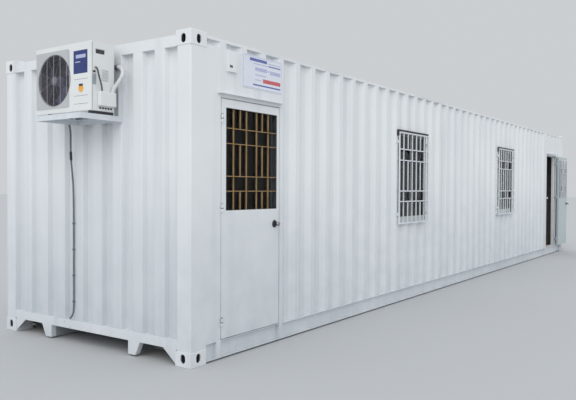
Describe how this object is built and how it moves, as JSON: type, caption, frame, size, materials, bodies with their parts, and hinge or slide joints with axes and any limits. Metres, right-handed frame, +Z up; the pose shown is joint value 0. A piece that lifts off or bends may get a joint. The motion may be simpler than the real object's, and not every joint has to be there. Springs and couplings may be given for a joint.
{
  "type": "portable site cabin",
  "caption": "Long steel site cabin on a container frame, with corrugated walls, hinged doors, barred windows and an outdoor air-conditioning unit on one end.",
  "frame": {"origin": "middle of the four twistlock slots in the undersides of the lower corner castings, on the plane the cabin stands on", "axes": "+X along the cabin from the end with the condenser unit to the far end, +Z up; the wall with the doors and windows faces -Y"},
  "size_m": [12.786, 2.556, 2.591],
  "materials": {
    "steel_white": "satin",
    "underframe_steel": "matt",
    "door_white": "satin",
    "plywood": "matt",
    "lining_board": "matt",
    "sash_dark": "satin",
    "clear_glass": "gloss",
    "knob_steel": "polished",
    "board_face": "gloss",
    "condenser_paint": "satin",
    "fan_plastic": "matt",
    "guard_wire": "satin",
    "pipe_lagging": "matt",
    "hose_rubber": "matt"
  },
  "bodies": {
    "cabin": {"near_lower_castings": "steel_white", "far_lower_castings": "steel_white", "near_upper_castings": "steel_white", "far_upper_castings": "steel_white", "corner_posts": "steel_white", "bottom_side_rails": "steel_white", "top_side_rails": "steel_white", "end_sills": "steel_white", "end_headers": "steel_white", "sill_gussets": "steel_white", "tunnel_feet": "steel_white", "end_skins": "steel_white", "back_skin": "steel_white", "front_skin_middle": "steel_white", "front_skin_ends": "steel_white", "front_skin_heads": "steel_white", "roof_sheet": "steel_white", "door_frames": "steel_white", "rail_stiffeners": "steel_white", "door_drips": "steel_white", "window_frames": "steel_white", "grille_frames": "steel_white", "air_vent": "steel_white", "condenser_shelf": "steel_white", "door_hinge_pins": "steel_white", "hose_clips": "steel_white", "gooseneck_tunnel": "underframe_steel", "floor_beams": "underframe_steel", "floor_deck": "plywood", "end_linings": "lining_board", "back_lining": "lining_board", "front_lining_middle": "lining_board", "front_lining_ends": "lining_board", "front_lining_heads": "lining_board", "ceiling_panel": "lining_board", "ceiling_ends": "lining_board", "window_sashes": "sash_dark", "window_glass": "clear_glass", "sign_board": "board_face", "condenser_case": "condenser_paint", "valve_cover": "condenser_paint", "fan_guard": "guard_wire", "condenser_pipes": "pipe_lagging", "drain_hose": "hose_rubber"},
    "near_door": {"near_door_leaf": "door_white", "near_door_glass": "clear_glass", "near_door_knobs": "knob_steel"},
    "far_door": {"far_door_leaf": "door_white", "far_door_glass": "clear_glass", "far_door_knobs": "knob_steel"},
    "fan": {"condenser_fan": "fan_plastic"}
  },
  "joints": [
    {"name": "near_door_hinge", "type": "hinge", "parent": "cabin", "child": "near_door", "pos_m": [-5.739, -1.225, 1.222], "axis": [0, 0, -1], "range_deg": [0, 178]},
    {"name": "far_door_hinge", "type": "hinge", "parent": "cabin", "child": "far_door", "pos_m": [5.483, -1.225, 1.222], "axis": [0, 0, -1], "range_deg": [0, 180]},
    {"name": "fan_spin", "type": "hinge", "parent": "cabin", "child": "fan", "pos_m": [-6.321, 0.036, 2.262], "axis": [-1, 0, 0], "continuous": true}
  ]
}
